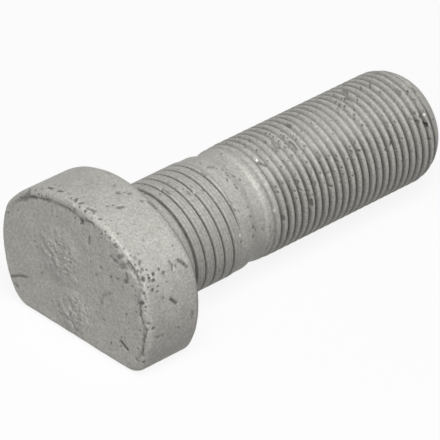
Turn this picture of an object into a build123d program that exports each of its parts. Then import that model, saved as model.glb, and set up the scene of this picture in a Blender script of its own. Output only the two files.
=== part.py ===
from build123d import *
import os

# Wheel bolt for a hub or brake drum: forged head with one flat side, press seat with helical
# grooves, waisted neck and threaded shank. Lengths are in millimetres. The axis runs along X,
# with the head's bearing face at x = 0, the head at x < 0 and the flat side facing down.

# Forged head
head_thickness = 11.1
head_radius = 18.25
flat_ledge = 0.685
crown_drop = 2.9
crown_flattening = 3.05
flat_corner_radius = 4.4
crown_corner_radius = 6.0
front_edge_radius = 1.1
rear_edge_radius = 1.4
under_head_chamfer = 0.35

# Press seat, with three helical grooves of one common lead
seat_diameter = 20.33
seat_length = 15.9
seat_lead_in = 0.3
groove_starts = 3
groove_pitch = 2.0
groove_width = 0.5
groove_depth = 0.19
groove_margin = 1.0
groove_end_gap = 0.3
groove_phase = 150.5

# Plain land and waisted neck
land_diameter = 20.02
land_length = 2.9
waist_diameter = 19.16
waist_length = 2.0
waist_rise = 5.0
waist_blend = 2.5

# Threaded length, at its outer diameter
thread_diameter = 20.0
shank_length = 61.4
end_chamfer_length = 3.2
end_diameter = 16.4
chamfer_blend = 1.6
end_edge_chamfer = 0.5

# Stations along the axis and radii that follow from the sizes above. The flat side stands
# a small ledge clear of the seat, and the crown is lower and flatter than the head's circle.
seat_radius = seat_diameter / 2
flat_distance = seat_radius + flat_ledge
crown_height = head_radius - crown_drop
crown_radius = head_radius + crown_flattening
land_radius = land_diameter / 2
waist_radius = waist_diameter / 2
thread_radius = thread_diameter / 2
end_radius = end_diameter / 2
land_end = seat_length + land_length
waist_x = land_end + waist_length
thread_start = waist_x + waist_rise
chamfer_start = shank_length - end_chamfer_length

# Each groove starts clear of the head and runs out at the end of the seat
groove_lead = groove_starts * groove_pitch
groove_run = seat_length - groove_margin - groove_end_gap
groove_turn = groove_run / groove_lead * 360
groove_overlap = groove_width / 2


# Cutter for one groove: a V swept along the helix, with its open side above the seat
with BuildPart() as groove_cutter:
    with BuildLine() as groove_path:
        Helix(
            pitch=groove_lead,
            height=groove_run,
            radius=seat_radius,
            center=(groove_margin, 0, 0),
            direction=(1, 0, 0),
        )
    groove_plane = Plane(
        origin=groove_path.line @ 0,
        x_dir=(0, 0, 1),
        z_dir=groove_path.line % 0,
    )
    with BuildSketch(groove_plane) as groove_section:
        half_top = groove_width / 2 * (1 + groove_overlap / groove_depth)
        Polygon(
            (-groove_depth, 0),
            (groove_overlap, half_top),
            (groove_overlap, -half_top),
            align=None,
        )
    sweep(is_frenet=True)

with BuildPart() as forged_head:
    # Round blank with a flatter crown, its rear edge rounded by the die
    with BuildSketch(Plane.YZ):
        Circle(head_radius)
        with Locations((0, crown_height - crown_radius)):
            Circle(crown_radius, mode=Mode.INTERSECT)
    extrude(amount=-head_thickness)
    fillet(forged_head.edges().filter_by(Axis.X), crown_corner_radius)
    rear_face = forged_head.faces().filter_by(Axis.X).sort_by(Axis.X)[-1]
    fillet(rear_face.edges(), rear_edge_radius)

    # Flat side that stops the bolt from turning, with rounded corners
    with BuildSketch(Plane.YZ) as flat_side:
        Circle(head_radius)
        with Locations((0, -flat_distance)):
            Rectangle(
                3 * head_radius,
                flat_distance + 2 * head_radius,
                align=(Align.CENTER, Align.MIN),
                mode=Mode.INTERSECT,
            )
        fillet(flat_side.vertices().group_by(Axis.Y)[0], flat_corner_radius)
    extrude(amount=-head_thickness, mode=Mode.INTERSECT)

    # Rounded edge of the outer face
    outer_face = forged_head.faces().filter_by(Axis.X).sort_by(Axis.X)[0]
    fillet(outer_face.edges(), front_edge_radius)

with BuildPart() as wheel_bolt:
    # Shank turned in one piece: seat, land, neck, thread blank and rounded end
    with BuildSketch(Plane.XZ) as half_section:
        with BuildLine() as outline:
            Polyline(
                (-head_thickness / 2, 0),
                (-head_thickness / 2, seat_radius),
                (seat_length - seat_lead_in, seat_radius),
                (seat_length, land_radius),
                (land_end, land_radius),
                (waist_x, waist_radius),
                (thread_start, thread_radius),
                (chamfer_start, thread_radius),
                (shank_length, end_radius),
                (shank_length, 0),
                close=True,
            )
        make_face()
        corners = half_section.vertices()
        waist_corners = corners.filter_by_position(Axis.X, land_end - 0.01, thread_start + 0.01)
        fillet(waist_corners, waist_blend)
        corners = half_section.vertices()
        fillet(corners.filter_by_position(Axis.X, chamfer_start - 0.01, chamfer_start + 0.01), chamfer_blend)
        corners = half_section.vertices()
        rim_corner = corners.filter_by_position(Axis.X, shank_length - 0.01, shank_length + 0.01)
        chamfer(rim_corner.sort_by(Axis.Y)[-1], end_edge_chamfer)
    revolve(axis=Axis.X)

    # Forged head, with a small relief angle where it meets the seat
    add(forged_head.part)
    bearing_face = wheel_bolt.faces().filter_by_position(Axis.X, -0.01, 0.01).sort_by(SortBy.AREA)[-1]
    chamfer(bearing_face.inner_wires().edges(), under_head_chamfer)

    # Helical grooves of the press seat, their runouts spaced evenly round the end of the seat
    for start in range(groove_starts):
        runout_angle = groove_phase + start * 360 / groove_starts
        add(groove_cutter.part, rotation=(runout_angle - 90 - groove_turn, 0, 0), mode=Mode.SUBTRACT)

wheel_bolt.part.label = "wheel_bolt"

os.makedirs("parts", exist_ok=True)
export_step(wheel_bolt.part, "parts/wheel_bolt.step")
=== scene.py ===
from math import atan2, cos, pi, radians, sin, sqrt

import bmesh
import bpy
from mathutils import Matrix, Vector, kdtree, noise


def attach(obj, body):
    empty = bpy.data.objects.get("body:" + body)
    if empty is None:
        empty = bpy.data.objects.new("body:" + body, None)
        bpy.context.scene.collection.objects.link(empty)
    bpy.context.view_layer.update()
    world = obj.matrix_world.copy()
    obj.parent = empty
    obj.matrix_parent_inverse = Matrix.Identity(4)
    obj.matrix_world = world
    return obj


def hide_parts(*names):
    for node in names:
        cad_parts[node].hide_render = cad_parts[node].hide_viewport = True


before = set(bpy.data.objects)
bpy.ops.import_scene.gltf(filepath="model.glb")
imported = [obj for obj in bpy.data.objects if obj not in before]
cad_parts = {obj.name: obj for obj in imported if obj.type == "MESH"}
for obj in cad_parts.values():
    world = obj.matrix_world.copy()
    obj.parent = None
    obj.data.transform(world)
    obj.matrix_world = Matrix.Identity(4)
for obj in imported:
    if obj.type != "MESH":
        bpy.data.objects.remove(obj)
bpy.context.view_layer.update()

# Forged head: a D-shaped disc, hot forged in a die, that stops the bolt from turning with its
# flat lower side. Its outer face is coined, with a ragged step along the edge, and its edges
# are rounded by the die. Sizes are in millimetres until the finished mesh is scaled to metres.
head_thickness = 11.1
head_radius = 18.25
flat_distance = 10.85
crown_radius = 21.3
crown_height = 15.35
crown_corner = 6.0
flat_corner = 4.4
front_rounding = 1.15
rear_rounding = 1.4
head_steps = 272

crown_centre = Vector((0, crown_height - crown_radius))


def corner_between_arcs():
    """Centre of the corner arc that touches the head's circle and the flatter crown from inside."""
    reach_side = head_radius - crown_corner
    reach_crown = crown_radius - crown_corner
    drop = -crown_centre.y
    height = (reach_crown ** 2 - reach_side ** 2 - drop ** 2) / (2 * drop)
    return Vector((sqrt(reach_side ** 2 - height ** 2), height))


def bearing(point):
    """Angle of a point round the axis, from +Y towards +Z."""
    return atan2(point.y, point.x)


corner_top = corner_between_arcs()
corner_low = Vector((
    sqrt((head_radius - flat_corner) ** 2 - (flat_distance - flat_corner) ** 2),
    flat_corner - flat_distance,
))
crown_reach = crown_radius / (crown_radius - crown_corner)
crown_touch = crown_centre + (corner_top - crown_centre) * crown_reach

# Arcs of the right half of the outline, from the flat side up: last bearing, centre, radius
head_arcs = [
    (bearing(corner_low), corner_low, flat_corner),
    (bearing(corner_top), Vector((0, 0)), head_radius),
    (bearing(crown_touch), corner_top, crown_corner),
    (pi / 2 + 0.01, crown_centre, crown_radius),
]


def head_outline(angle):
    """Point of the D outline at an angle round the axis, and the way that the outline faces there."""
    mirrored = cos(angle) < 0
    ray = Vector((abs(cos(angle)), sin(angle)))
    if bearing(ray) <= bearing(Vector((corner_low.x, -flat_distance))):
        point, facing = ray * (flat_distance / -ray.y), Vector((0, -1))
    else:
        centre, radius = next((c, r) for last, c, r in head_arcs if bearing(ray) <= last)
        along = ray.dot(centre)
        point = ray * (along + sqrt(along ** 2 - centre.length_squared + radius ** 2))
        facing = (point - centre).normalized()
    if mirrored:
        point.x, facing.x = -point.x, -facing.x
    return point, facing


def head_ring(x, scale=1.0, inset=0.0):
    """Place of each vertex of one ring of the head: the outline, scaled, or set in by a distance."""
    def place(angle):
        point, facing = head_outline(angle)
        point = point * scale - facing * inset
        return Vector((x, point.x, point.y))
    return place


def rounding(x_edge, way, radius, steps):
    """Rings of an edge rounding, from the flat face to the side."""
    for step in range(steps + 1):
        turn = step / steps * pi / 2
        yield head_ring(x_edge + way * radius * (1 - cos(turn)), inset=radius * (1 - sin(turn)))


bolt = bmesh.new()
angle_of = bolt.verts.layers.float.new("angle")
# Dirt and painted shade, which darken the coating's colour
dirt_and_shade_of = bolt.verts.layers.float.new("dirt_and_shade")
pitted_of = bolt.verts.layers.float.new("pitted")
uneven_of = bolt.verts.layers.float.new("uneven")

# Rings of the outer face from its middle, closer together near the ragged rim
shares = [k / 20 * 0.8 for k in range(1, 20)] + [0.8 + 0.2 * k / 17 for k in range(17)]
rings = [head_ring(-head_thickness, scale=share, inset=front_rounding * share) for share in shares]
rings += list(rounding(-head_thickness, 1, front_rounding, 7))
side_from, side_to = -head_thickness + front_rounding, -rear_rounding
rings += [head_ring(side_from + (side_to - side_from) * k / 18) for k in range(1, 18)]
rings += list(rounding(0, -1, rear_rounding, 7))[::-1]

circle = bmesh.ops.create_circle(bolt, cap_ends=True, segments=head_steps, radius=1.0)["verts"]
for vert in circle:
    vert[angle_of] = atan2(vert.co.y, vert.co.x)
    vert.co = rings[0](vert[angle_of])
rim = list(bolt.edges)
for ring in rings[1:]:
    grown = bmesh.ops.extrude_edge_only(bolt, edges=rim)["geom"]
    rim = [part for part in grown if isinstance(part, bmesh.types.BMEdge)]
    for vert in (part for part in grown if isinstance(part, bmesh.types.BMVert)):
        vert.co = ring(vert[angle_of])
bmesh.ops.poke(bolt, faces=[face for face in bolt.faces if len(face.verts) > 4])
bearing_rim = rim

# Press seat: the turned length behind the head, with three helical grooves that key into the
# bore of the hub. Head, seat, neck and thread are one steel bar, so each length is spun as an
# open sleeve and joined to the next rim by rim.
shank_steps = 148
seat_radius = 10.165
seat_from = 0.3
seat_end = 15.9
seat_lead_in = 0.3
groove_starts = 3
groove_pitch = 2.0
groove_lead = groove_starts * groove_pitch
groove_half = 0.33
groove_lip = 0.07
groove_lip_drop = 0.04
groove_depth = 0.26
groove_at = 1.03  # where the first groove crosses the +Y side
groove_first = 0.8
groove_last = 15.75
seat_turns = 5  # turns of the sleeve that cover the seat, from two leads before it
broad_groove = 1
broad_depth = 0.14
ripple = 0.04
# Painted shade in the dips of the tool ripples, and painted shade with some dirt in the grooves
ripple_shade = 0.22
groove_dirt_and_shade = 0.75
land_radius = 10.01


def smooth(low, high, value):
    """Eased step from 0 at the low value to 1 at the high one."""
    t = min(max((value - low) / (high - low), 0.0), 1.0)
    return t * t * (3 - 2 * t)


def sleeve(outline, lead=0.0, turns=1):
    """An open sleeve: an outline of (x, radius) pairs spun once round the axis, in a helix of the
    given lead, and laid end to end as many times as it has turns."""
    sheet = bmesh.new()
    sheet.verts.layers.float.new("dirt_and_shade")
    verts = [sheet.verts.new((x, r, 0)) for x, r in outline]
    edges = [sheet.edges.new(pair) for pair in zip(verts, verts[1:])]
    bmesh.ops.spin(sheet, geom=verts + edges, cent=(0, 0, 0), axis=(1, 0, 0),
                   dvec=(lead / shank_steps, 0, 0), angle=2 * pi, steps=shank_steps)
    turn = sheet.verts[:] + sheet.edges[:] + sheet.faces[:]
    for count in range(1, turns):
        copied = bmesh.ops.duplicate(sheet, geom=turn)["geom"]
        bmesh.ops.translate(sheet, vec=(count * lead, 0, 0),
                            verts=[part for part in copied if isinstance(part, bmesh.types.BMVert)])
    bmesh.ops.remove_doubles(sheet, verts=sheet.verts, dist=0.002)
    return sheet


def trim(sheet, first, last):
    """Cuts the sleeve square at both ends."""
    for x, side in ((first, -1), (last, 1)):
        bmesh.ops.bisect_plane(sheet, geom=sheet.verts[:] + sheet.edges[:] + sheet.faces[:],
                               plane_co=(x, 0, 0), plane_no=(side, 0, 0),
                               clear_outer=True, dist=0.001)


def set_radius(vert, radius):
    """Moves a vertex square to the axis, to a new distance from it."""
    away = Vector((0, vert.co.y, vert.co.z))
    vert.co += away * (radius / away.length - 1)


def add_sleeve(sheet):
    """Adds a sleeve to the bolt and returns its two rims, nearest the head first."""
    mesh = bpy.data.meshes.new("sleeve")
    sheet.to_mesh(mesh)
    sheet.free()
    old = set(bolt.edges)
    bolt.from_mesh(mesh)
    bpy.data.meshes.remove(mesh)
    open_edges = [edge for edge in bolt.edges if edge not in old and edge.is_boundary]
    middle = sum(edge.verts[0].co.x for edge in open_edges) / len(open_edges)
    return ([edge for edge in open_edges if edge.verts[0].co.x < middle],
            [edge for edge in open_edges if edge.verts[0].co.x >= middle])


# V grooves with a rounded lip, and two shallow tool ripples on each land between them
land_ripples = [(0.46, 0.0), (0.64, 0.5), (0.78, 1.0), (0.92, 0.5), (1.12, 0.0),
                (1.30, 0.5), (1.44, 1.0), (1.58, 0.4), (1.66, 0.0)]
seat_outline = []
for start in range(groove_starts):
    centre = groove_at + start * groove_pitch
    seat_outline += [(centre - groove_half, 0.0),
                     (centre - groove_half + groove_lip, -groove_lip_drop),
                     (centre - groove_lip, -groove_depth),
                     (centre + groove_lip, -groove_depth),
                     (centre + groove_half - groove_lip, -groove_lip_drop),
                     (centre + groove_half, 0.0)]
    seat_outline += [(centre + along, -ripple * share) for along, share in land_ripples]
seat_outline.append((seat_outline[0][0] + groove_lead, seat_outline[0][1]))
seat = sleeve([(x - 2 * groove_lead, seat_radius + depth) for x, depth in seat_outline],
              groove_lead, seat_turns)
trim(seat, seat_from, seat_end - 0.02)
dirt_and_shade_in_sheet = seat.verts.layers.float["dirt_and_shade"]
for vert in seat.verts:
    x = vert.co.x
    depth = seat_radius - Vector(vert.co.yz).length
    # The grooves are deeper close behind the head, and darkest there as a painted shadow of the head
    near = 1 - smooth(5.6, 7.2, x)
    depth *= 1 + 0.4 * near * smooth(0.045, 0.1, depth)
    shaded_from, shaded_full = 0.045 + 0.015 * near, 0.15 - 0.06 * near
    vert[dirt_and_shade_in_sheet] = (ripple_shade * smooth(0.0, 0.04, depth)
                           + groove_dirt_and_shade * smooth(shaded_from, shaded_full, depth))
    # One turn of a groove, which shows behind the head, is worn broad and darkened as a painted shadow
    # of the head
    turn = atan2(vert.co.z, vert.co.y) % (2 * pi)
    along = x - groove_lead * turn / (2 * pi) - groove_at
    off = (along + groove_pitch / 2) % groove_pitch - groove_pitch / 2
    if round((along - off) / groove_pitch) == broad_groove:
        share = smooth(1.0, 1.6, turn) * (1 - smooth(3.8, 4.3, turn))
        share *= 1 - smooth(0.2, 0.43, abs(off))
        depth = max(depth, broad_depth * share)
        vert[dirt_and_shade_in_sheet] = max(vert[dirt_and_shade_in_sheet], 0.9 * share)
    # The grooves run out at both ends of the seat, and its far end is eased for pressing in
    cut = smooth(groove_first - 0.4, groove_first, x) * (1 - smooth(groove_last - 0.2, groove_last, x))
    lead_in = (seat_radius - land_radius) * smooth(seat_end - seat_lead_in, seat_end, x)
    vert[dirt_and_shade_in_sheet] *= cut
    set_radius(vert, seat_radius - max(depth * cut, lead_in))
seat_near, seat_far = add_sleeve(seat)

# Neck: a plain turned land, and a waist down to the diameter of the bar from which the thread
# is rolled
waist_radius = 9.58
land_end = 18.2
waist_from = 19.9
neck_outline = []
for k in range(22):
    x = seat_end + 0.1 + 0.25 * k
    drop = (land_radius - waist_radius) * smooth(land_end, waist_from, x)
    neck_outline.append((x, land_radius - drop))
neck = sleeve(neck_outline)
neck_near, neck_far = add_sleeve(neck)

# Thread: M20 x 1.5, rolled between dies, with 60 degree flanks and with crests and roots that
# the dies and the coating round off. It runs out on a short collar, and its end is rounded.
pitch = 1.5
thread_radius = 10.0
thread_at = 0.86  # how far a crest on the +Y side lies past a whole pitch
turns_skipped = 13  # turns before the thread, which the sleeve leaves out
thread_turns = 29
thread_from = 21.3
collar_from = 21.35
collar_full = 22.2
collar_radius = 9.86
collar_cut = 0.14
runout_from = 22.7
runout_full = 25.9
thread_full = 25.2
shank_end = 61.4
chamfer_from = 57.6
end_radius = 8.05
# Bearings of the thread's top, which is worn low and made lighter as painted light
top_from, top_full, top_last, top_to = (radians(turn) for turn in (60, 95, 118, 150))
worn_last, worn_to = 40, 52

thread_outline = [(0.0, 0.02), (0.14, 0.0), (0.20, 0.02), (0.24, 0.08), (0.60, 0.71),
                  (0.66, 0.79), (0.75, 0.82), (0.84, 0.79), (0.90, 0.71), (1.26, 0.08),
                  (1.30, 0.02), (1.36, 0.0), (1.5, 0.02)]
start = thread_at + turns_skipped * pitch
thread = sleeve([(x + start, thread_radius - depth) for x, depth in thread_outline],
                pitch, thread_turns)
trim(thread, thread_from, shank_end)
dirt_and_shade_in_sheet = thread.verts.layers.float["dirt_and_shade"]
for vert in thread.verts:
    x = vert.co.x
    depth = thread_radius - Vector(vert.co.yz).length
    # Height of the crests: up from the waist to the collar, then to the full thread
    crest = waist_radius + (collar_radius - waist_radius) * smooth(collar_from, collar_full, x)
    crest += (thread_radius - collar_radius) * smooth(collar_full, thread_full, x)
    cut = (collar_cut * smooth(collar_full - 0.3, collar_full, x)
           + (1 - collar_cut) * smooth(runout_from, runout_full, x))
    # The end falls away ever faster, and cuts through the last turns
    slope = max(x - chamfer_from, 0) / (shank_end - chamfer_from)
    limit = thread_radius - (thread_radius - end_radius) * (0.35 * slope + 0.65 * slope ** 2.4)
    # On top the thread is lighter, as painted light, and the first half of the thread is worn low
    turn = atan2(vert.co.z, vert.co.y) % (2 * pi)
    top_worn_and_lit = smooth(top_from, top_full, turn) * (1 - smooth(top_last, top_to, turn))
    worn = 0.4 * top_worn_and_lit * (1 - smooth(worn_last, worn_to, x))
    radius = min(crest - depth * cut * (1 - worn), limit)
    # A thin darker tone lies over the thread and painted shade lies thickly in its roots, with less of
    # both on top as painted light
    rolled = cut ** 0.6 * smooth(-0.05, 0.1, limit - crest + depth)
    root_shade = (0.76 - 0.4 * top_worn_and_lit) * smooth(0.3, 0.65, depth)
    vert[dirt_and_shade_in_sheet] = rolled * (0.16 - 0.04 * top_worn_and_lit + root_shade)
    set_radius(vert, radius)
thread_near, thread_far = add_sleeve(thread)

# Head, seat, neck and thread become one closed skin
bmesh.ops.bridge_loops(bolt, edges=bearing_rim + seat_near)
bmesh.ops.bridge_loops(bolt, edges=seat_far + neck_near)
bmesh.ops.bridge_loops(bolt, edges=neck_far + thread_near)
bmesh.ops.holes_fill(bolt, edges=thread_far, sides=0)
bmesh.ops.recalc_face_normals(bolt, faces=bolt.faces)

# Forged skin of the head: a slight swell and grit all over, and a ragged fold along the rim of
# the coined outer face, where metal that flowed over the die's edge was pressed flat. Each
# point of the fold is (y, z) and how strongly it shows.
fold_line = [
    (15.6, 6.4, 0.2), (14.0, 8.6, 0.5), (12.6, 9.8, 0.8), (11.3, 10.7, 0.8), (9.6, 11.6, 0.8),
    (8.0, 12.2, 0.7), (6.5, 12.6, 0.7), (4.9, 13.0, 0.45), (2.9, 13.3, 0.4), (1.5, 13.5, 0.5),
    (0.2, 13.5, 0.6), (-1.2, 13.4, 0.5), (-2.5, 13.0, 0.6), (-3.9, 13.4, 0.6), (-5.4, 13.4, 0.5),
    (-6.8, 13.2, 0.3), (-8.0, 12.9, 0.25), (-9.2, 12.4, 0.25), (-10.2, 11.9, 0.25),
    (-11.4, 11.3, 0.25), (-12.2, 10.9, 0.25), (-13.0, 10.4, 0.3), (-14.0, 9.7, 0.7),
    (-14.7, 8.9, 0.7), (-15.6, 8.1, 0.8), (-16.1, 7.2, 0.5), (-16.5, 6.1, 0.35),
    (-16.2, 4.8, 0.3), (-16.0, 3.4, 0.7), (-16.2, 2.3, 0.6), (-16.2, 1.3, 0.8), (-16.7, 0.6, 0.6),
    (-17.1, 0.0, 0.4), (-17.2, -0.9, 0.6), (-17.0, -2.2, 0.7), (-16.7, -3.5, 0.8),
    (-16.4, -4.9, 0.8), (-16.0, -6.0, 0.6), (-15.1, -7.4, 0.4),
]
fold_steps = 12
fold = []
for start, end in zip(fold_line, fold_line[1:]):
    fold += [Vector(start).lerp(Vector(end), step / fold_steps) for step in range(fold_steps)]
fold_tree = kdtree.KDTree(len(fold))
for index, (y, z, strength) in enumerate(fold):
    fold_tree.insert((y, z, 0), index)
fold_tree.balance()

uneven_patches = [(Vector((3.0, 3.5)), 6.5), (Vector((0.5, -6.0)), 5.5)]
uneven_height = 0.16
fold_depth = 0.2
coined_step = 0.06

bolt.normal_update()
for vert in bolt.verts:
    if vert.co.x > -0.2:
        continue
    swell = noise.fractal(vert.co * 0.28, 1.0, 2.0, 3) * 0.05
    grit = noise.fractal(vert.co * 1.3, 1.0, 2.0, 2) * 0.014
    x, y, z = vert.co
    vert.co += vert.normal * (swell + grit)
    # Painted shade in the corner behind the head
    vert[dirt_and_shade_of] = 0.75 * smooth(-0.75, -0.4, x)
    if x >= -10.0:
        continue
    # Two uneven patches of the forged face
    for centre, reach in uneven_patches:
        share = 1 - smooth(0.3, 1.0, (Vector((y, z)) - centre).length / reach)
        vert[uneven_of] = max(vert[uneven_of], share)
    vert.co.x += uneven_height * vert[uneven_of] * noise.noise(Vector((y, z, 1.0)) * 0.55)
    # The fold is a broken groove, and the face steps in a little on its inner side
    nearest, index, away = fold_tree.find((y, z, 0))
    strength = fold[index].z
    ragged = (0.75 + 0.9 * noise.noise(Vector((y, z, 5.0)) * 1.1)
              + 0.5 * noise.noise(Vector((y, z, 8.0)) * 2.6))
    groove = (1 - smooth(0.08, 0.5, away)) * strength * max(ragged, 0.0)
    inside = Vector((y, z)).length < nearest.length
    step = coined_step * (1 - smooth(0.0, 2.5, away)) if inside else 0.0
    vert.co.x += fold_depth * groove + step * min(strength * 2, 1.0)
    vert[dirt_and_shade_of] = max(vert[dirt_and_shade_of], min(1.15 * groove, 0.95))
    vert[pitted_of] = 0.6 * (1 - smooth(0.3, 1.8, away)) * (0.4 if inside else 1.0)

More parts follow.
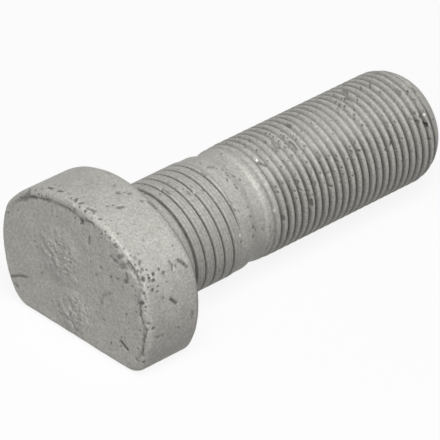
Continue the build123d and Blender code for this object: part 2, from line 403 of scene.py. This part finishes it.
# Dents, nicks and pits, pressed into the skin by forging and handling: each is a line of
# points, half width and depth in mm, and soil, where a negative value is bare bright metal.
# Points are (y, z) on the face, and (x, degrees round the axis) on the head's side and shank.
marks = {
    "face": [
        ([(-11.3, -5.9), (-12.7, -6.6)], 0.4, 0.2, 1),
        ([(-12.0, 8.4), (-13.8, 9.4), (-13.9, 9.9)], 0.56, 0.22, 0.47),
        ([(-13.8, 9.4), (-14.3, 9.2)], 0.75, 0.25, 0.59),
        ([(-4.5, 10.6), (-4.3, 9.3)], 0.25, 0.1, 0.77), ([(-2.7, 12.5)], 0.53, 0.25, 1),
        ([(-3.9, 13.5)], 0.3, 0.18, 1), ([(-4.7, 13.5), (-5.4, 13.4)], 0.25, 0.16, 0.95),
        ([(-3.3, 14.7)], 0.28, 0.15, 0.89), ([(9.2, 13.0)], 0.3, 0.14, 0.77),
        ([(0.3, 13.4)], 0.38, 0.18, 0.89), ([(-1.1, 14.0)], 0.4, 0.16, 0.65),
        ([(11.3, 10.8), (10.5, 11.9)], 0.56, 0.15, 0.65),
        ([(12.4, 9.9), (11.3, 10.4)], 0.38, 0.15, 0.77), ([(9.6, 11.6)], 0.3, 0.14, 0.83),
        ([(8.7, 11.8)], 0.3, 0.14, 0.89), ([(7.7, 12.2)], 0.28, 0.14, 0.77),
        ([(6.8, 12.4)], 0.3, 0.16, 0.95), ([(5.6, 13.0)], 0.28, 0.12, 0.65),
        ([(-0.7, 14.8), (-1.2, 14.7)], 0.22, -0.08, -0.25), ([(-5.3, 13.3)], 0.3, 0.16, 0.89),
        ([(-9.2, 12.4)], 0.25, 0.12, 0.65), ([(-10.4, 11.6), (-11.0, 11.6)], 0.28, 0.14, 0.71),
        ([(-9.7, 9.3)], 0.38, 0.14, 0.53), ([(-10.3, 9.0), (-10.9, 9.0)], 0.44, 0.16, 0.65),
        ([(-11.4, 9.9), (-12.2, 10.6)], 0.38, 0.14, 0.65), ([(-7.0, 6.0)], 0.3, 0.14, 0.71),
        ([(-5.9, 4.3)], 0.28, 0.12, 0.47), ([(-9.4, 5.4)], 0.25, 0.16, 1),
        ([(-11.0, 5.8)], 0.25, 0.16, 1), ([(-13.2, 7.8), (-13.3, 7.1)], 0.25, 0.12, 0.65),
        ([(-13.3, 6.5), (-12.8, 6.1)], 0.4, 0.14, 0.71),
        ([(-14.8, 8.7), (-15.5, 8.2), (-15.9, 7.6)], 0.3, 0.16, 0.77),
        ([(-16.5, 7.0), (-16.9, 6.8)], 0.28, 0.14, 0.65),
        ([(-17.0, 5.7), (-17.3, 5.6), (-17.5, 5.1), (-17.6, 4.7)], 0.3, 0.18, 1),
        ([(-16.0, 3.5), (-16.9, 4.1)], 0.33, 0.18, 0.95), ([(-16.1, 3.1)], 0.3, 0.14, 0.71),
        ([(-17.4, 3.4)], 0.25, 0.14, 0.77), ([(-17.4, 2.7)], 0.22, 0.12, 0.53),
        ([(-16.3, 2.3), (-16.2, 1.3)], 0.33, 0.16, 0.83), ([(-16.5, 0.9)], 0.3, 0.14, 0.77),
        ([(-17.8, 0.5)], 0.33, 0.12, 0.53),
        ([(-17.6, -0.5), (-17.4, -1.4), (-17.1, -2.3)], 0.25, 0.12, 0.65),
        ([(-16.8, -3.2)], 0.33, 0.16, 0.95), ([(-16.5, -4.8), (-16.3, -5.9)], 0.33, 0.15, 0.83),
        ([(-14.9, -7.5)], 0.33, 0.14, 0.65), ([(-16.2, -7.6), (-16.6, -7.3)], 0.28, 0.12, 0.71),
        ([(15.7, -6.2), (13.7, -5.2), (11.9, -4.6)], 0.25, 0.12, 0.77),
        ([(15.0, -7.4), (14.5, -7.6)], 0.28, 0.12, 0.77),
        ([(-7.3, 1.1), (-6.7, -0.7)], 0.25, 0.08, 0.41),
        ([(-9.1, 2.3), (-7.5, 1.0)], 0.22, 0.08, 0.41),
    ],
    "side": [
        ([(-6.1, 170.3), (-5.2, 173.7)], 0.3, 0.16, 0.95), ([(-10.1, 113.4)], 0.33, 0.16, 0.77),
        ([(-7.3, 107.6)], 0.33, 0.12, 0.59), ([(-10.5, 87.6)], 0.3, 0.18, 0.95),
        ([(-9.7, 84.0)], 0.25, 0.14, 0.77), ([(-9.9, 91.1), (-10.4, 92.3)], 0.28, 0.15, 0.89),
        ([(-9.9, 96.8), (-10.4, 95.5)], 0.28, 0.14, 0.89),
        ([(-10.2, 102.1), (-9.9, 104.0)], 0.28, 0.15, 0.89), ([(-9.8, 106.3)], 0.28, 0.15, 0.83),
        ([(-10.0, 75.1), (-9.9, 78.1)], 0.28, 0.16, 1),
        ([(-9.9, 65.2), (-10.0, 68.9)], 0.28, 0.14, 0.95), ([(-10.4, 60.1)], 0.3, 0.12, 0.53),
        ([(-3.0, 95.1)], 0.38, 0.1, 0.53), ([(-3.8, 101.9)], 0.44, 0.12, 0.71),
        ([(-2.4, 106.2)], 0.38, 0.12, 0.71), ([(-2.9, 103.6)], 0.31, 0.1, 0.53),
        ([(-5.3, 112.7), (-6.0, 112.2)], 0.33, 0.14, 0.77), ([(-1.8, 114.8)], 0.33, 0.12, 0.65),
        ([(-1.0, 117.4), (-0.8, 119.7), (-0.7, 123.2)], 0.28, 0.12, 0.65),
        ([(-10.0, 104.0), (-9.7, 106.5)], 0.3, 0.14, 0.77), ([(-10.5, 149.8)], 0.28, 0.16, 0.89),
        ([(-9.9, 150.7)], 0.25, 0.14, 0.77), ([(-9.6, 143.2)], 0.22, 0.12, 0.65),
        ([(-9.1, 146.0)], 0.28, 0.14, 0.77), ([(-9.4, 147.0)], 0.28, 0.14, 0.77),
        ([(-9.4, 149.6)], 0.28, 0.14, 0.71), ([(-10.1, 154.5)], 0.43, 0.2, 1),
        ([(-9.0, 155.2)], 0.3, 0.18, 1), ([(-8.0, 154.3)], 0.33, 0.18, 0.95),
        ([(-8.4, 157.1)], 0.3, 0.18, 1), ([(-8.9, 153.5)], 0.25, 0.14, 0.65),
        ([(-6.7, 153.4)], 0.28, 0.16, 0.95), ([(-6.2, 156.1)], 0.38, 0.16, 0.83),
        ([(-9.1, 161.5)], 0.33, 0.18, 0.95), ([(-10.6, 196.7), (-11.0, 196.4)], 0.28, 0.12, 0.71),
        ([(-10.1, 181.5)], 0.3, 0.16, 0.83), ([(-9.0, 188.7)], 0.33, 0.12, 0.47),
        ([(-8.1, 188.5)], 0.28, 0.12, 0.47), ([(-7.5, 168.0)], 0.28, 0.1, 0.47),
        ([(-2.7, 153.7), (-2.3, 155.1), (-2.0, 156.8)], 0.35, 0.16, 0.89),
        ([(-1.7, 158.3)], 0.33, 0.14, 0.77),
        ([(-4.2, 152.5), (-4.1, 154.7), (-4.5, 156.4)], 0.25, 0.12, 0.71),
        ([(-3.6, 155.7)], 0.3, 0.12, 0.59), ([(-1.9, 183.9), (-1.9, 186.0)], 0.38, 0.1, 0.41),
    ],
    "shank": [
        ([(7.0, 96.0), (7.2, 97.3)], 0.21, 0.12, 0.8),
        ([(7.3, 99.6), (7.3, 104.0)], 0.19, 0.1, 0.75), ([(8.0, 103.4)], 0.19, 0.1, 0.77),
        ([(6.9, 94.4)], 0.14, 0.05, -0.25), ([(8.0, 104.0)], 0.11, 0.04, -0.25),
        ([(10.2, 110.6), (10.1, 113.7)], 0.19, 0.1, 0.8), ([(10.0, 106.2)], 0.19, 0.1, 0.77),
        ([(11.4, 116.0)], 0.19, 0.1, 0.8), ([(11.1, 114.8)], 0.14, 0.04, -0.25),
        ([(11.4, 107.9)], 0.19, 0.1, 0.65), ([(12.7, 116.8)], 0.19, 0.1, 0.65),
        ([(13.0, 79.1)], 0.24, 0.1, 0.53), ([(17.0, 95.1), (17.6, 97.6)], 0.37, 0.1, 0.47),
        ([(15.0, 98.9), (15.1, 102.6)], 0.32, 0.12, 0.59), ([(18.5, 113.3)], 0.24, 0.12, 0.65),
        ([(17.9, 116.4)], 0.26, 0.1, 0.53), ([(18.4, 124.9)], 0.21, 0.1, 0.65),
        ([(18.4, 128.2)], 0.24, 0.12, 0.77), ([(16.0, 146.4)], 0.21, 0.12, 0.77),
        ([(16.6, 148.0)], 0.19, 0.1, 0.59), ([(16.0, 138.4)], 0.19, 0.1, 0.59),
        ([(15.5, 169.6)], 0.22, 0.12, -0.9), ([(15.7, 177.4)], 0.3, 0.18, 0.8),
        ([(18.6, 169.2)], 0.32, 0.14, 0.83), ([(19.1, 173.1)], 0.24, 0.12, 0.77),
        ([(18.4, 178.5)], 0.3, 0.14, 0.77), ([(20.8, 176.8)], 0.24, 0.12, 0.65),
        ([(22.2, 178.9)], 0.21, 0.1, 0.65), ([(18.7, 149.5)], 0.19, 0.1, 0.53),
        ([(27.6, 82.4)], 0.28, 0.16, 0.8), ([(26.1, 84.6)], 0.26, 0.14, 0.8),
        ([(25.3, 92.9)], 0.24, 0.12, 0.77), ([(26.4, 101.4)], 0.24, 0.12, 0.77),
        ([(30.1, 81.7)], 0.28, 0.12, 0.71), ([(28.9, 93.1)], 0.21, 0.1, 0.53),
        ([(24.9, 112.2)], 0.17, 0.04, -1), ([(25.6, 116.2)], 0.17, 0.04, -0.9),
        ([(24.8, 115.1), (25.1, 117.9), (25.6, 121.5)], 0.26, 0.2, 0.8),
        ([(32.4, 100.7)], 0.24, 0.14, 0.8), ([(30.9, 103.4)], 0.24, 0.14, 0.75),
        ([(35.1, 86.2), (35.2, 91.8)], 0.32, 0.16, 0.8),
        ([(29.7, 102.3), (29.5, 109.1), (29.9, 110.8)], 0.37, 0.14, 0.65),
        ([(30.9, 112.9)], 0.26, 0.14, 0.75),
        ([(32.4, 109.1), (32.5, 112.6), (32.4, 119.9)], 0.21, 0.16, 0.8),
        ([(34.2, 105.2)], 0.14, 0.05, -0.25), ([(33.8, 109.6)], 0.24, 0.14, 0.8),
        ([(34.1, 120.1)], 0.28, 0.16, 0.8), ([(30.9, 123.4)], 0.28, 0.12, 0.65),
        ([(32.1, 119.2)], 0.24, 0.1, 0.53), ([(36.0, 103.2)], 0.21, 0.1, 0.53),
        ([(32.7, 135.9)], 0.26, 0.14, 0.77), ([(34.2, 150.7)], 0.21, 0.14, 0.8),
        ([(35.6, 135.5)], 0.24, 0.12, 0.77), ([(37.2, 139.9)], 0.24, 0.12, 0.65),
        ([(35.5, 132.2)], 0.24, 0.12, 0.65), ([(29.6, 148.1)], 0.21, 0.12, 0.77),
        ([(29.7, 140.6)], 0.21, 0.1, 0.53), ([(28.3, 155.2)], 0.24, 0.14, 0.77),
        ([(31.1, 161.9)], 0.21, 0.12, 0.59), ([(31.2, 172.8), (31.2, 177.5)], 0.26, 0.16, 0.8),
        ([(35.7, 167.8)], 0.26, 0.16, 0.8), ([(35.8, 153.5)], 0.24, 0.12, 0.77),
        ([(32.7, 157.5)], 0.21, 0.1, 0.53), ([(26.6, 144.2)], 0.24, 0.1, 0.65),
        ([(25.1, 144.4)], 0.26, 0.14, 0.75), ([(25.1, 149.3)], 0.24, 0.12, 0.77),
        ([(25.1, 174.7), (25.1, 178.4)], 0.24, 0.12, 0.77), ([(23.1, 185.1)], 0.28, 0.14, 0.77),
        ([(23.4, 163.7)], 0.24, 0.06, -0.25), ([(26.1, 195.0)], 0.37, 0.1, 0.53),
        ([(29.4, 181.5)], 0.21, 0.1, 0.53), ([(24.4, 134.6)], 0.24, 0.12, 0.65),
        ([(23.6, 134.8)], 0.21, 0.1, 0.53), ([(45.7, 94.4)], 0.26, 0.16, 0.8),
        ([(46.0, 100.2)], 0.28, 0.16, 0.8), ([(45.8, 88.6)], 0.24, 0.12, 0.75),
        ([(47.6, 90.6), (48.0, 98.8)], 0.34, 0.12, 0.71),
        ([(49.1, 83.7), (49.1, 77.8)], 0.32, 0.12, 0.65), ([(46.1, 113.8)], 0.3, 0.16, 0.8),
        ([(51.8, 85.5)], 0.26, 0.14, 0.8), ([(53.3, 89.8), (53.9, 87.9)], 0.26, 0.12, 0.77),
        ([(49.4, 96.7)], 0.24, 0.1, 0.65), ([(46.0, 127.1)], 0.26, 0.12, 0.77),
        ([(44.7, 99.1)], 0.3, 0.12, 0.65), ([(47.3, 76.2)], 0.26, 0.12, 0.65),
        ([(41.6, 145.2)], 0.24, 0.16, 0.8), ([(43.1, 148.0)], 0.28, 0.2, 0.8),
        ([(43.3, 145.5)], 0.11, 0.04, -0.25), ([(43.1, 138.1)], 0.21, 0.12, 0.65),
        ([(56.2, 110.7), (56.3, 113.0)], 0.5, 0.12, 0.53), ([(57.9, 115.7)], 0.26, 0.16, 0.8),
        ([(57.9, 114.2)], 0.12, 0.04, -0.25), ([(59.5, 114.9), (59.4, 119.5)], 0.32, 0.14, 0.83),
        ([(58.0, 127.2)], 0.21, 0.12, 0.65), ([(53.5, 103.3)], 0.21, 0.1, 0.53),
        ([(50.5, 135.3)], 0.3, 0.1, 0.47), ([(49.4, 156.1), (49.8, 154.0)], 0.28, 0.14, 0.75),
        ([(48.1, 158.2)], 0.24, 0.12, 0.77), ([(56.5, 139.5)], 0.26, 0.14, 0.8),
        ([(58.4, 141.4)], 0.24, 0.14, 0.75), ([(58.3, 144.4)], 0.22, 0.04, -0.9),
        ([(57.1, 144.6), (57.6, 144.8)], 0.32, 0.14, 0.77), ([(56.5, 147.9)], 0.28, 0.16, 0.8),
        ([(55.6, 144.2)], 0.14, 0.04, -0.25), ([(57.9, 155.3)], 0.5, 0.4, 1),
        ([(57.5, 151.1)], 0.32, 0.2, 0.77), ([(55.1, 141.8)], 0.21, 0.12, 0.77),
        ([(58.0, 170.6)], 0.28, 0.12, 0.65), ([(51.3, 145.6)], 0.21, 0.1, 0.53),
    ],
}
# Distance from the axis at which the curved surfaces are laid flat
side_reach = 17
shank_reach = 10
edge_share = 1.3


def surface_of(co):
    """Which surface of the bolt a point is on, and its place there with the surface laid flat."""
    turn = atan2(co.z, co.y) % (2 * pi)
    if co.x < -10.6:
        return "face", Vector((co.y, co.z, 0))
    if co.x < -0.05:
        return "side", Vector((co.x, side_reach * turn, 0))
    return "shank", Vector((co.x, shank_reach * turn, 0))


def surface_trees():
    """Search tree of the vertices on each surface, laid flat."""
    spots = {"face": [], "side": [], "shank": []}
    for vert in bolt.verts:
        kind, place = surface_of(vert.co)
        spots[kind].append((place, vert.index))
    trees = {}
    for kind, places in spots.items():
        trees[kind] = kdtree.KDTree(len(places))
        for place, index in places:
            trees[kind].insert(place, index)
        trees[kind].balance()
    return trees


def along_line(kind, line, spacing):
    """Places along a line of points, with the surface laid flat."""
    scale = {"face": 1, "side": side_reach * pi / 180, "shank": shank_reach * pi / 180}[kind]
    places = [Vector((first, second * scale, 0)) for first, second in line]
    for start, end in zip(places, places[1:] or places):
        steps = max(int((end - start).length / spacing), 1)
        for step in range(steps + 1):
            yield start.lerp(end, step / steps)


# The mesh is made finer round each mark
trees = surface_trees()
bolt.verts.ensure_lookup_table()
close = set()
for kind, rows in marks.items():
    for line, half_width, depth, dirt_and_shade in rows:
        reach = half_width * edge_share + 0.2
        for place in along_line(kind, line, 0.2):
            close.update(index for co, index, away in trees[kind].find_range(place, reach))
coarse = [edge for edge in bolt.edges
          if all(vert.index in close for vert in edge.verts) and edge.calc_length() > 0.25]
bmesh.ops.subdivide_edges(bolt, edges=coarse, cuts=2, use_grid_fill=True)
bolt.verts.index_update()
bolt.verts.ensure_lookup_table()
bolt.normal_update()
trees = surface_trees()
for kind, rows in marks.items():
    for line, half_width, depth, dirt_and_shade in rows:
        reach = half_width * edge_share
        distances = {}
        for place in along_line(kind, line, 0.3 * half_width):
            for co, index, away in trees[kind].find_range(place, reach):
                distances[index] = min(distances.get(index, 9.0), away)
        for index, away in distances.items():
            vert = bolt.verts[index]
            share = 1 - smooth(0.35, 1.0, away / reach)
            vert.co -= vert.normal * depth * share
            stronger = max if dirt_and_shade > 0 else min
            vert[dirt_and_shade_of] = stronger(vert[dirt_and_shade_of], dirt_and_shade * share)

# Where the coating is pitted, by wear and rust: centre, reach in mm and how densely
pitted_zones = [
    ((-9.0, -16.5, 6.5), 4.0, 0.8), ((-8.5, -13.5, 10.5), 3.4, 0.5),
    ((-9.5, -8.0, 14.0), 3.5, 0.5), ((-10.0, -3.0, 15.0), 3.5, 0.7),
    ((-10.4, 5.0, 14.6), 3.5, 0.5), ((-2.2, -16.3, 7.5), 3.0, 0.7), ((33.0, -1.5, 9.8), 6.0, 0.8),
    ((29.0, -3.5, 9.2), 4.5, 0.7), ((38.0, 0.0, 10.0), 4.5, 0.6), ((46.0, -2.0, 9.8), 6.0, 0.6),
    ((57.5, -7.5, 6.2), 4.5, 0.7), ((7.3, -1.5, 10.0), 2.5, 0.7), ((13.5, 1.0, 10.0), 3.0, 0.6),
    ((19.0, -3.5, 9.2), 3.0, 0.4), ((-10.8, -17.0, -2.0), 3.5, 0.5),
    ((40.0, -9.0, 4.0), 7.0, 0.45), ((30.0, -9.0, 4.0), 5.0, 0.5), ((52.0, -8.0, 5.5), 5.0, 0.4),
]
for centre, reach, amount in pitted_zones:
    for vert in bolt.verts:
        away = (vert.co - Vector(centre)).length
        if away < reach:
            vert[pitted_of] = max(vert[pitted_of], amount * (1 - smooth(0.3, 1.0, away / reach)))

# The finished skin becomes the bolt's mesh, in metres
for face in bolt.faces:
    face.smooth = True
for edge in bolt.edges:
    if edge.is_manifold and edge.calc_face_angle() > radians(38):
        edge.smooth = False
bmesh.ops.scale(bolt, vec=(0.001, 0.001, 0.001), verts=bolt.verts)
bolt_mesh = bpy.data.meshes.new("forged_bolt")
bolt.to_mesh(bolt_mesh)
bolt.free()
forged_bolt = bpy.data.objects.new("forged_bolt", bolt_mesh)
bpy.context.scene.collection.objects.link(forged_bolt)


def linear(hex_colour):
    """sRGB hex colour as linear red, green, blue and alpha."""
    channels = [int(hex_colour[k:k + 2], 16) / 255 for k in (1, 3, 5)]
    return [c / 12.92 if c <= 0.04045 else ((c + 0.055) / 1.055) ** 2.4 for c in channels] + [1.0]


def add(tree, kind, settings=None, links=None):
    """Adds a shader node, sets its properties and sockets, and links sockets from other nodes."""
    node = tree.nodes.new(kind)
    for name, value in (settings or {}).items():
        if isinstance(name, str) and hasattr(node, name):
            setattr(node, name, value)
        else:
            node.inputs[name].default_value = value
    for name, source in (links or {}).items():
        tree.links.new(source, node.inputs[name])
    return node


# Zinc flake coating, dipped and spun over forged and rolled steel and baked: a matt, even
# light grey with a soft metallic sheen, a fine sandy grain, darker dirt in dents and pits,
# and painted shade in the grooves and other low places.
coating_low, coating_high = linear("#a3a19b"), linear("#bfbdb7")
dirt_and_shade_colour = linear("#3c3a36")
bare_metal = linear("#f0efec")
# Scales are features per mm. The real grain is about 0.1 mm and too fine to show, so it is drawn
# at about 0.4 mm.
mottle_scale = 0.35
grain_scale = 2.4
lump_scale = 0.8
pit_cell = 0.8
stray_pits = 0.035
grain_mm, pit_mm, lump_mm = 0.09, 0.12, 1.15

coating = bpy.data.materials.new("zinc_flake_coating")
coating.use_nodes = True
tree = coating.node_tree
tree.nodes.clear()
coordinates = add(tree, "ShaderNodeTexCoord")
in_mm = add(tree, "ShaderNodeMapping", {"Scale": (1000, 1000, 1000)},
            {"Vector": coordinates.outputs["Object"]})
# Even grey with a slow mottle and a sandy grain
mottle = add(tree, "ShaderNodeTexNoise", {"Scale": mottle_scale, "Detail": 4.0, "Roughness": 0.6},
             {"Vector": in_mm.outputs[0]})
grain = add(tree, "ShaderNodeTexNoise", {"Scale": grain_scale, "Detail": 3.0, "Roughness": 0.7},
            {"Vector": in_mm.outputs[0]})
tone = add(tree, "ShaderNodeMix", {"data_type": "RGBA", 6: coating_low, 7: coating_high},
           {0: mottle.outputs["Fac"]})
grain_span = add(tree, "ShaderNodeMapRange",
                 {"From Min": 0.3, "From Max": 0.7, "To Min": 0.72, "To Max": 1.26},
                 {"Value": grain.outputs["Fac"]})
grained = add(tree, "ShaderNodeVectorMath", {"operation": "SCALE"},
              {0: tone.outputs[2], "Scale": grain_span.outputs[0]})
# Pits in the coating: one chance of a pit in each cell, taken where the zone is pitted
pitted = add(tree, "ShaderNodeAttribute", {"attribute_name": "pitted"})
cells = add(tree, "ShaderNodeTexVoronoi", {"Scale": 1 / pit_cell}, {"Vector": in_mm.outputs[0]})
chance = add(tree, "ShaderNodeSeparateColor", {}, {0: cells.outputs["Color"]})
density = add(tree, "ShaderNodeMath", {"operation": "ADD", 1: stray_pits},
              {0: pitted.outputs["Fac"]})
taken = add(tree, "ShaderNodeMath", {"operation": "LESS_THAN"},
            {0: chance.outputs[0], 1: density.outputs[0]})
size = add(tree, "ShaderNodeMapRange", {"To Min": 0.2, "To Max": 0.46},
           {"Value": chance.outputs[1]})
within = add(tree, "ShaderNodeMapRange",
             {"From Min": 0.08, "To Min": 1.0, "To Max": 0.0, "interpolation_type": "SMOOTHSTEP"},
             {"Value": cells.outputs["Distance"], "From Max": size.outputs[0]})
pits = add(tree, "ShaderNodeMath", {"operation": "MULTIPLY"},
           {0: taken.outputs[0], 1: within.outputs[0]})
# Dirt lies in dents, pits and the fold, and painted shade in the grooves, the thread's roots
# and the corner behind the head; a negative value is bare bright metal
dirt_and_shade = add(tree, "ShaderNodeAttribute", {"attribute_name": "dirt_and_shade"})
patchy = add(tree, "ShaderNodeMapRange",
             {"From Min": 0.3, "From Max": 0.7, "To Min": 0.75, "To Max": 1.1},
             {"Value": mottle.outputs["Fac"]})
dirt_and_shade_here = add(tree, "ShaderNodeMath", {"operation": "MULTIPLY", "use_clamp": True},
                {0: dirt_and_shade.outputs["Fac"], 1: patchy.outputs[0]})
pit_soil = add(tree, "ShaderNodeMath", {"operation": "MULTIPLY", 1: 0.8}, {0: pits.outputs[0]})
dark = add(tree, "ShaderNodeMath", {"operation": "MAXIMUM"},
           {0: dirt_and_shade_here.outputs[0], 1: pit_soil.outputs[0]})
dark_share = add(tree, "ShaderNodeMath", {"operation": "MULTIPLY", 1: 0.9}, {0: dark.outputs[0]})
darkened = add(tree, "ShaderNodeMix", {"data_type": "RGBA", 7: dirt_and_shade_colour},
             {0: dark_share.outputs[0], 6: grained.outputs[0]})
bare = add(tree, "ShaderNodeMapRange",
           {"From Min": -0.1, "From Max": -0.6, "To Min": 0.0, "To Max": 1.0},
           {"Value": dirt_and_shade.outputs["Fac"]})
bared = add(tree, "ShaderNodeMix", {"data_type": "RGBA", 7: bare_metal},
            {0: bare.outputs[0], 6: darkened.outputs[2]})
# Height in mm: sandy grain, less the pits, with lumps on the uneven patches of the face
grain_height = add(tree, "ShaderNodeMath", {"operation": "MULTIPLY", 1: grain_mm},
                   {0: grain.outputs["Fac"]})
pitted_height = add(tree, "ShaderNodeMath", {"operation": "MULTIPLY_ADD", 1: -pit_mm},
                    {0: pits.outputs[0], 2: grain_height.outputs[0]})
uneven = add(tree, "ShaderNodeAttribute", {"attribute_name": "uneven"})
lumps = add(tree, "ShaderNodeTexNoise", {"Scale": lump_scale, "Detail": 2.0, "Roughness": 0.5},
            {"Vector": in_mm.outputs[0]})
lump_share = add(tree, "ShaderNodeMath", {"operation": "MULTIPLY"},
                 {0: lumps.outputs["Fac"], 1: uneven.outputs["Fac"]})
height = add(tree, "ShaderNodeMath", {"operation": "MULTIPLY_ADD", 1: lump_mm},
             {0: lump_share.outputs[0], 2: pitted_height.outputs[0]})
bump = add(tree, "ShaderNodeBump", {"Strength": 0.9, "Distance": 0.001},
           {"Height": height.outputs[0]})
finish = add(tree, "ShaderNodeBsdfPrincipled", {"Metallic": 0.2, "Roughness": 0.55},
             {"Base Color": bared.outputs[2], "Normal": bump.outputs[0]})
add(tree, "ShaderNodeOutputMaterial", {}, {"Surface": finish.outputs[0]})
bolt_mesh.materials.append(coating)

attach(forged_bolt, "root")
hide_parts("wheel_bolt")


def shows_background(tree):
    """Node that gives 1 to rays from the camera, and to those mirrored by metal or sent through
    glass, so that all of them meet the same white."""
    path = add(tree, "ShaderNodeLightPath")
    direct = add(tree, "ShaderNodeMath", {"operation": "MAXIMUM"},
                 {0: path.outputs["Is Camera Ray"], 1: path.outputs["Is Glossy Ray"]})
    return add(tree, "ShaderNodeMath", {"operation": "MAXIMUM"},
               {0: direct.outputs[0], 1: path.outputs["Is Transmission Ray"]})


# Floor: a sheet of matt white paper under the bolt. It looks white and keeps the bolt's shadow,
# and lights the bolt's underside only as a mid grey sheet would.
floor_mesh = bpy.data.meshes.new("floor")
sheet = bmesh.new()
bmesh.ops.create_grid(sheet, x_segments=1, y_segments=1, size=1.5)
bmesh.ops.translate(sheet, verts=sheet.verts, vec=(0, 0, -0.001 * flat_distance - 0.00005))
sheet.to_mesh(floor_mesh)
sheet.free()
floor = bpy.data.objects.new("floor", floor_mesh)
bpy.context.scene.collection.objects.link(floor)
paper = bpy.data.materials.new("white_paper")
paper.use_nodes = True
tree = paper.node_tree
tree.nodes.clear()
seen = shows_background(tree)
glow_share = add(tree, "ShaderNodeMath", {"operation": "MULTIPLY", 1: 0.88}, {0: seen.outputs[0]})
shade = add(tree, "ShaderNodeMix",
            {"data_type": "RGBA", 6: linear("#606060"), 7: linear("#f4f4f4")},
            {0: seen.outputs[0]})
dull = add(tree, "ShaderNodeBsdfDiffuse", {}, {"Color": shade.outputs[2]})
glow = add(tree, "ShaderNodeEmission", {"Color": (1, 1, 1, 1), "Strength": 1.0})
both = add(tree, "ShaderNodeMixShader", {},
           {0: glow_share.outputs[0], 1: dull.outputs[0], 2: glow.outputs[0]})
add(tree, "ShaderNodeOutputMaterial", {}, {"Surface": both.outputs[0]})
floor_mesh.materials.append(paper)

# Studio: a white room that lights the bolt only weakly, one large softbox above and in front,
# and a weaker one before the head's face
world = bpy.data.worlds.new("studio_air")
bpy.context.scene.world = world
world.use_nodes = True
tree = world.node_tree
tree.nodes.clear()
seen = shows_background(tree)
ambient = add(tree, "ShaderNodeBackground", {"Color": (1, 1, 1, 1), "Strength": 0.04})
white = add(tree, "ShaderNodeBackground", {"Color": (1, 1, 1, 1), "Strength": 1.0})
both = add(tree, "ShaderNodeMixShader", {},
           {0: seen.outputs[0], 1: ambient.outputs[0], 2: white.outputs[0]})
add(tree, "ShaderNodeOutputWorld", {}, {"Surface": both.outputs[0]})


def soft_light(name, place, size, power):
    """A square softbox that points at the bolt."""
    lamp = bpy.data.lights.new(name, "AREA")
    lamp.size = size
    lamp.energy = power
    holder = bpy.data.objects.new(name, lamp)
    holder.location = place
    aim = Vector((0.02, 0, 0)) - Vector(place)
    holder.rotation_euler = aim.to_track_quat("-Z", "Y").to_euler()
    bpy.context.scene.collection.objects.link(holder)


soft_light("key_softbox", (-0.2, -0.38, 0.7), 0.6, 7.0)
soft_light("face_fill", (-0.7, -0.26, 0.2), 0.5, 2.05)

# Camera of the photograph: a long lens, above and in front of the head, with its place and its
# three directions fitted to the bolt's outline
camera_place = (-0.39353, -0.47976, 0.39717)
camera_right = Vector((0.74757, -0.66377, -0.02345))
camera_up = Vector((0.36883, 0.38552, 0.84578))
camera_back = -Vector((0.55236, 0.64093, -0.53302))
lens = bpy.data.cameras.new("camera")
lens.lens = 376.8
lens.sensor_width = 36.0
lens.clip_start = 0.01
camera = bpy.data.objects.new("camera", lens)
turned = Matrix((camera_right, camera_up, camera_back)).transposed().to_4x4()
camera.matrix_world = Matrix.Translation(camera_place) @ turned
bpy.context.scene.collection.objects.link(camera)
bpy.context.scene.camera = camera
bpy.context.scene.view_settings.view_transform = "Standard"
